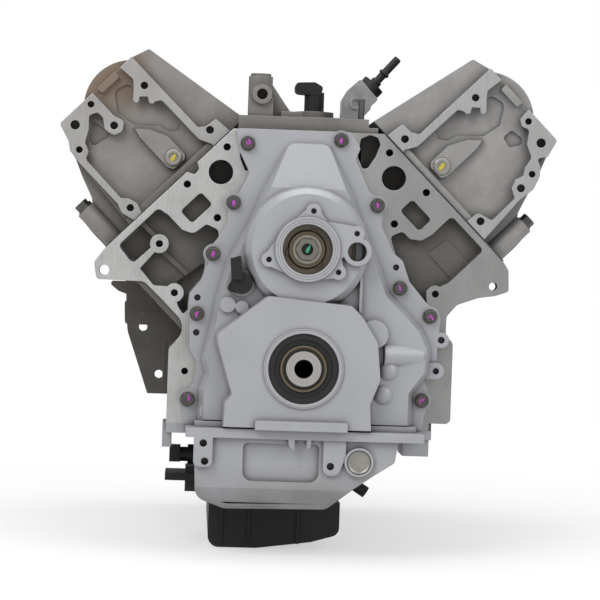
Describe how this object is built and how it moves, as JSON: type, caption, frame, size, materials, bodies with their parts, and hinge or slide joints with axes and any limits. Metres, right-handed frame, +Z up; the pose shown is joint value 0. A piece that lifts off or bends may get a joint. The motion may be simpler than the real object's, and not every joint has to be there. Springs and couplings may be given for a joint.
{
  "type": "v8 engine long block",
  "caption": "Pushrod V engine long block with crank and valve gear, timing cover and oil pan, for study or for fitting manifolds, covers and a gearbox.",
  "frame": {"origin": "on the crankshaft's axis, in the plane of the block's front face", "axes": "-Y out of the crankshaft nose to the front, +Y rearwards along the crankshaft, +X to the right seen from the front, +Z up between the banks"},
  "size_m": [0.5308, 0.57, 0.5452],
  "materials": {
    "cast_block": "raw sand casting with machined faces",
    "cast_head": "raw casting with machined faces",
    "painted_cover": "satin paint on cast aluminium",
    "bolt_dark": "phosphated steel",
    "machined_steel": "machined and ground",
    "forged_steel": "forged with ground journals",
    "spring_steel": "oiled wire",
    "piston_alloy": "turned alloy",
    "bearing_metal": "bearing lining",
    "gasket_steel": "coated sheet steel",
    "plug_metal": "bright plated cup",
    "rubber_black": "moulded rubber",
    "plastic_black": "moulded plastic",
    "bracket_brown": "oil stained sheet steel",
    "elbow_silver": "die cast"
  },
  "bodies": {
    "block": {"engine_block": "cast_block", "cylinder_head_left": "cast_head", "cylinder_head_right": "cast_head", "head_gaskets": "gasket_steel", "head_bolts": "bolt_dark", "rocker_stands": "machined_steel", "main_bearing_caps": "forged_steel", "main_cap_bolts": "bolt_dark", "plain_bearings": "bearing_metal", "timing_chain": "spring_steel", "front_cover": "painted_cover", "front_cover_bolts": "bolt_dark", "crank_front_seal": "rubber_black", "cam_position_sensor": "plastic_black", "head_plugs": "plug_metal", "cam_thrust_plate": "machined_steel", "oil_pump": "cast_head", "oil_pan": "painted_cover", "oil_pan_bolts": "bolt_dark", "lower_sump": "plastic_black", "pan_core_plug": "plug_metal", "pan_fittings": "plastic_black", "filter_adapter": "plastic_black", "oil_pickup": "machined_steel", "side_bracket": "bracket_brown", "valley_cover": "cast_head", "valley_cover_bolts": "bolt_dark", "pressure_sensor": "plastic_black", "vent_elbow": "elbow_silver", "vent_hose_tail": "plastic_black", "rear_cover": "painted_cover", "crank_rear_seal": "rubber_black", "valve_springs_left": "spring_steel", "valve_springs_right": "spring_steel"},
    "crank": {"crankshaft": "forged_steel", "crank_sprocket": "machined_steel"},
    "cam": {"camshaft": "machined_steel", "cam_phaser": "machined_steel"},
    "piston_left_1": {"piston_left_1": "piston_alloy", "connecting_rod_left_1": "forged_steel"},
    "piston_left_2": {"piston_left_2": "piston_alloy", "connecting_rod_left_2": "forged_steel"},
    "piston_left_3": {"piston_left_3": "piston_alloy", "connecting_rod_left_3": "forged_steel"},
    "piston_left_4": {"piston_left_4": "piston_alloy", "connecting_rod_left_4": "forged_steel"},
    "piston_right_1": {"piston_right_1": "piston_alloy", "connecting_rod_right_1": "forged_steel"},
    "piston_right_2": {"piston_right_2": "piston_alloy", "connecting_rod_right_2": "forged_steel"},
    "piston_right_3": {"piston_right_3": "piston_alloy", "connecting_rod_right_3": "forged_steel"},
    "piston_right_4": {"piston_right_4": "piston_alloy", "connecting_rod_right_4": "forged_steel"},
    "valves_left": {"valves_left": "machined_steel"},
    "rockers_left": {"rockers_left": "forged_steel"},
    "pushrods_left": {"pushrods_left": "machined_steel"},
    "valves_right": {"valves_right": "machined_steel"},
    "rockers_right": {"rockers_right": "forged_steel"},
    "pushrods_right": {"pushrods_right": "machined_steel"}
  },
  "joints": [
    {"name": "crank_spin", "type": "hinge", "parent": "block", "child": "crank", "pos_m": [0, 0, 0], "axis": [0, 1, 0], "continuous": true, "deforming": ["timing_chain"]},
    {"name": "cam_spin", "type": "hinge", "parent": "block", "child": "cam", "pos_m": [0, 0, 0.1248], "axis": [0, 1, 0], "continuous": true},
    {"name": "piston_left_1_stroke", "type": "slide", "parent": "block", "child": "piston_left_1", "axis": [0.7071, 0, -0.7071], "range_m": [-0.01693, 0.07507], "deforming": ["connecting_rod_left_1"]},
    {"name": "piston_left_2_stroke", "type": "slide", "parent": "block", "child": "piston_left_2", "axis": [0.7071, 0, -0.7071], "range_m": [-0.08198, 0.01002], "deforming": ["connecting_rod_left_2"]},
    {"name": "piston_left_3_stroke", "type": "slide", "parent": "block", "child": "piston_left_3", "axis": [0.7071, 0, -0.7071], "range_m": [-0.01693, 0.07507], "deforming": ["connecting_rod_left_3"]},
    {"name": "piston_left_4_stroke", "type": "slide", "parent": "block", "child": "piston_left_4", "axis": [0.7071, 0, -0.7071], "range_m": [-0.08198, 0.01002], "deforming": ["connecting_rod_left_4"]},
    {"name": "piston_right_1_stroke", "type": "slide", "parent": "block", "child": "piston_right_1", "axis": [-0.7071, 0, -0.7071], "range_m": [-0.01693, 0.07507], "deforming": ["connecting_rod_right_1"]},
    {"name": "piston_right_2_stroke", "type": "slide", "parent": "block", "child": "piston_right_2", "axis": [-0.7071, 0, -0.7071], "range_m": [-0.01693, 0.07507], "deforming": ["connecting_rod_right_2"]},
    {"name": "piston_right_3_stroke", "type": "slide", "parent": "block", "child": "piston_right_3", "axis": [-0.7071, 0, -0.7071], "range_m": [-0.08198, 0.01002], "deforming": ["connecting_rod_right_3"]},
    {"name": "piston_right_4_stroke", "type": "slide", "parent": "block", "child": "piston_right_4", "axis": [-0.7071, 0, -0.7071], "range_m": [-0.08198, 0.01002], "deforming": ["connecting_rod_right_4"]},
    {"name": "valve_lift_left", "type": "slide", "parent": "block", "child": "valves_left", "axis": [0.5446, 0, -0.8387], "range_m": [0, 0.013], "stiffness_N_per_m": 6000, "springref_m": -0.02, "deforming": ["valve_springs_left"]},
    {"name": "rocker_tilt_left", "type": "hinge", "parent": "block", "child": "rockers_left", "pos_m": [-0.20131, 0, 0.29465], "axis": [0, -1, 0], "range_deg": [0, 18.62]},
    {"name": "pushrod_lift_left", "type": "slide", "parent": "block", "child": "pushrods_left", "axis": [-0.7071, 0, 0.7071], "range_m": [0, 0.0069]},
    {"name": "valve_lift_right", "type": "slide", "parent": "block", "child": "valves_right", "axis": [-0.5446, 0, -0.8387], "range_m": [0, 0.013], "stiffness_N_per_m": 6000, "springref_m": -0.02, "deforming": ["valve_springs_right"]},
    {"name": "rocker_tilt_right", "type": "hinge", "parent": "block", "child": "rockers_right", "pos_m": [0.20131, 0, 0.29465], "axis": [0, 1, 0], "range_deg": [0, 18.62]},
    {"name": "pushrod_lift_right", "type": "slide", "parent": "block", "child": "pushrods_right", "axis": [0.7071, 0, 0.7071], "range_m": [0, 0.0069]}
  ],
  "couplings": [
    {"joint": "cam_spin", "follows": "crank_spin", "ratio": 0.5},
    {"joint": "piston_right_2_stroke", "follows": "piston_left_1_stroke", "ratio": 1},
    {"joint": "piston_right_4_stroke", "follows": "piston_left_2_stroke", "ratio": 1},
    {"joint": "piston_right_1_stroke", "follows": "piston_left_3_stroke", "ratio": 1},
    {"joint": "piston_right_3_stroke", "follows": "piston_left_4_stroke", "ratio": 1},
    {"joint": "rocker_tilt_left", "follows": "valve_lift_left", "rad_per_m": 25},
    {"joint": "pushrod_lift_left", "follows": "valve_lift_left", "ratio": 0.5308},
    {"joint": "rocker_tilt_right", "follows": "valve_lift_right", "rad_per_m": 25},
    {"joint": "pushrod_lift_right", "follows": "valve_lift_right", "ratio": 0.5308}
  ]
}
